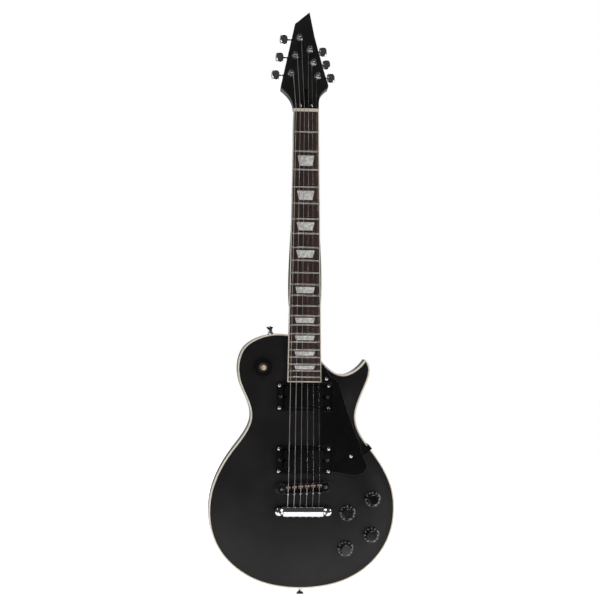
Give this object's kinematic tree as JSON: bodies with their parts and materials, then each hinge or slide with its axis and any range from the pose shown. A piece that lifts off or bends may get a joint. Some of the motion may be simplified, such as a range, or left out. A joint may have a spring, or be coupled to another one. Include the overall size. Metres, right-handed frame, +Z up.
{
  "type": "electric guitar",
  "caption": "Single-cutaway solid-body electric guitar with carved top, set neck, pointed three-a-side headstock, two humbuckers, saddle bridge and stop tailpiece.",
  "frame": {"origin": "Front edge of the nut on the centreline, at the surface of the fretboard, where a wall hanger holds the neck below the headstock.", "axes": "+Z up along the neck to the headstock, +X to the treble side (the side of the controls), -Y out of the front of the body."},
  "size_m": [0.316, 0.1224, 1.002],
  "materials": {
    "black_satin_wood": "satin black lacquer over maple and mahogany",
    "cream_binding": "aged cream plastic, flush and lacquered",
    "rosewood": "open-grained dark rosewood, oiled",
    "pearl": "pearl-white marbled plastic",
    "fret_and_string_wire": "drawn nickel-silver and steel wire",
    "black_plastic": "glossy black moulded plastic",
    "black_metal": "black plated metal",
    "steel": "bright steel rod",
    "nickel": "nickel-plated steel",
    "amber_tip": "cream plastic tip on a chrome stem",
    "chrome": "polished chrome plate"
  },
  "bodies": {
    "body_and_neck": {"body_back": "black_satin_wood", "body_binding": "cream_binding", "body_top": "black_satin_wood", "bridge": "black_metal", "bridge_posts": "chrome", "control_cover": "black_plastic", "control_pots": "nickel", "fret_inlays": "pearl", "fretboard": "rosewood", "fretboard_binding": "cream_binding", "frets": "fret_and_string_wire", "intonation_screws": "chrome", "jack_plate": "chrome", "neck": "black_satin_wood", "nut": "cream_binding", "output_jack": "nickel", "pickguard": "black_plastic", "pickguard_bracket": "black_metal", "pickup_height_screws": "black_metal", "pickup_ring_screws": "chrome", "pickup_rings": "black_plastic", "plain_strings": "fret_and_string_wire", "small_wood_screws": "chrome", "strap_buttons": "chrome", "switch_cover": "black_plastic", "tailpiece": "chrome", "tailpiece_studs": "chrome", "toggle_switch": "black_metal", "truss_rod": "steel", "truss_rod_cover": "black_plastic", "tuner_bushings": "chrome", "tuner_housings": "chrome", "wound_strings": "fret_and_string_wire"},
    "button_1": {"tuner_button_1": "chrome"},
    "post_1": {"tuner_post_1": "chrome"},
    "button_2": {"tuner_button_2": "chrome"},
    "post_2": {"tuner_post_2": "chrome"},
    "button_3": {"tuner_button_3": "chrome"},
    "post_3": {"tuner_post_3": "chrome"},
    "button_4": {"tuner_button_4": "chrome"},
    "post_4": {"tuner_post_4": "chrome"},
    "button_5": {"tuner_button_5": "chrome"},
    "post_5": {"tuner_post_5": "chrome"},
    "button_6": {"tuner_button_6": "chrome"},
    "post_6": {"tuner_post_6": "chrome"},
    "knob_1": {"knob_1": "black_plastic"},
    "knob_2": {"knob_2": "black_plastic"},
    "knob_3": {"knob_3": "black_plastic"},
    "knob_4": {"knob_4": "black_plastic"},
    "toggle": {"toggle_lever": "amber_tip"},
    "neck_humbucker": {"neck_pickup": "black_plastic", "neck_pickup_poles": "black_metal"},
    "bridge_humbucker": {"bridge_pickup": "black_plastic", "bridge_pickup_poles": "black_metal"},
    "saddle_1": {"saddle_1": "chrome"},
    "saddle_2": {"saddle_2": "chrome"},
    "saddle_3": {"saddle_3": "chrome"},
    "saddle_4": {"saddle_4": "chrome"},
    "saddle_5": {"saddle_5": "chrome"},
    "saddle_6": {"saddle_6": "chrome"}
  },
  "joints": [
    {"name": "tuner_button_1_turn", "type": "hinge", "parent": "body_and_neck", "child": "button_1", "pos_m": [0.0208, 0.04316, 0.0626], "axis": [1, 0, 0], "continuous": true},
    {"name": "tuner_post_1_turn", "type": "hinge", "parent": "body_and_neck", "child": "post_1", "pos_m": [0.0208, 0.01872, 0.06359], "axis": [0, -0.9537, 0.3007], "continuous": true},
    {"name": "tuner_button_2_turn", "type": "hinge", "parent": "body_and_neck", "child": "button_2", "pos_m": [0.0136, 0.05074, 0.08663], "axis": [1, 0, 0], "continuous": true},
    {"name": "tuner_post_2_turn", "type": "hinge", "parent": "body_and_neck", "child": "post_2", "pos_m": [0.0136, 0.0263, 0.08762], "axis": [0, -0.9537, 0.3007], "continuous": true},
    {"name": "tuner_button_3_turn", "type": "hinge", "parent": "body_and_neck", "child": "button_3", "pos_m": [0.008, 0.05807, 0.1099], "axis": [1, 0, 0], "continuous": true},
    {"name": "tuner_post_3_turn", "type": "hinge", "parent": "body_and_neck", "child": "post_3", "pos_m": [0.008, 0.03364, 0.1109], "axis": [0, -0.9537, 0.3007], "continuous": true},
    {"name": "tuner_button_4_turn", "type": "hinge", "parent": "body_and_neck", "child": "button_4", "pos_m": [-0.0097, 0.06475, 0.13107], "axis": [-1, 0, 0], "continuous": true},
    {"name": "tuner_post_4_turn", "type": "hinge", "parent": "body_and_neck", "child": "post_4", "pos_m": [-0.0097, 0.04032, 0.13207], "axis": [0, -0.9537, 0.3007], "continuous": true},
    {"name": "tuner_button_5_turn", "type": "hinge", "parent": "body_and_neck", "child": "button_5", "pos_m": [-0.0174, 0.05449, 0.09855], "axis": [-1, 0, 0], "continuous": true},
    {"name": "tuner_post_5_turn", "type": "hinge", "parent": "body_and_neck", "child": "post_5", "pos_m": [-0.0174, 0.03006, 0.09955], "axis": [0, -0.9537, 0.3007], "continuous": true},
    {"name": "tuner_button_6_turn", "type": "hinge", "parent": "body_and_neck", "child": "button_6", "pos_m": [-0.025, 0.04436, 0.06641], "axis": [-1, 0, 0], "continuous": true},
    {"name": "tuner_post_6_turn", "type": "hinge", "parent": "body_and_neck", "child": "post_6", "pos_m": [-0.025, 0.01993, 0.06741], "axis": [0, -0.9537, 0.3007], "continuous": true},
    {"name": "knob_1_turn", "type": "hinge", "parent": "body_and_neck", "child": "knob_1", "pos_m": [0.119, -0.03, -0.657], "axis": [0, -1, 0], "range_deg": [-150, 150]},
    {"name": "knob_2_turn", "type": "hinge", "parent": "body_and_neck", "child": "knob_2", "pos_m": [0.076, -0.03, -0.6805], "axis": [0, -1, 0], "range_deg": [-150, 150]},
    {"name": "knob_3_turn", "type": "hinge", "parent": "body_and_neck", "child": "knob_3", "pos_m": [0.1175, -0.03, -0.718], "axis": [0, -1, 0], "range_deg": [-150, 150]},
    {"name": "knob_4_turn", "type": "hinge", "parent": "body_and_neck", "child": "knob_4", "pos_m": [0.0735, -0.03, -0.741], "axis": [0, -1, 0], "range_deg": [-150, 150]},
    {"name": "toggle_throw", "type": "hinge", "parent": "body_and_neck", "child": "toggle", "pos_m": [-0.07, -0.022, -0.4355], "axis": [1, 0, 0], "range_deg": [-13, 13]},
    {"name": "neck_pickup_height", "type": "slide", "parent": "body_and_neck", "child": "neck_humbucker", "axis": [0, -1, 0], "range_m": [-0.003, 0.0015]},
    {"name": "bridge_pickup_height", "type": "slide", "parent": "body_and_neck", "child": "bridge_humbucker", "axis": [0, -1, 0], "range_m": [-0.003, 0.0015]},
    {"name": "saddle_1_slide", "type": "slide", "parent": "body_and_neck", "child": "saddle_1", "axis": [-0.0509, 0, 0.9987], "range_m": [-0.002, 0.001]},
    {"name": "saddle_2_slide", "type": "slide", "parent": "body_and_neck", "child": "saddle_2", "axis": [-0.0509, 0, 0.9987], "range_m": [-0.002, 0.00116]},
    {"name": "saddle_3_slide", "type": "slide", "parent": "body_and_neck", "child": "saddle_3", "axis": [-0.0509, 0, 0.9987], "range_m": [-0.002, 0.00132]},
    {"name": "saddle_4_slide", "type": "slide", "parent": "body_and_neck", "child": "saddle_4", "axis": [-0.0509, 0, 0.9987], "range_m": [-0.002, 0.00158]},
    {"name": "saddle_5_slide", "type": "slide", "parent": "body_and_neck", "child": "saddle_5", "axis": [-0.0509, 0, 0.9987], "range_m": [-0.002, 0.00184]},
    {"name": "saddle_6_slide", "type": "slide", "parent": "body_and_neck", "child": "saddle_6", "axis": [-0.0509, 0, 0.9987], "range_m": [-0.002, 0.002]}
  ],
  "couplings": [
    {"joint": "tuner_post_1_turn", "follows": "tuner_button_1_turn", "ratio": 0.071429},
    {"joint": "tuner_post_2_turn", "follows": "tuner_button_2_turn", "ratio": 0.071429},
    {"joint": "tuner_post_3_turn", "follows": "tuner_button_3_turn", "ratio": 0.071429},
    {"joint": "tuner_post_4_turn", "follows": "tuner_button_4_turn", "ratio": -0.071429},
    {"joint": "tuner_post_5_turn", "follows": "tuner_button_5_turn", "ratio": -0.071429},
    {"joint": "tuner_post_6_turn", "follows": "tuner_button_6_turn", "ratio": -0.071429}
  ]
}
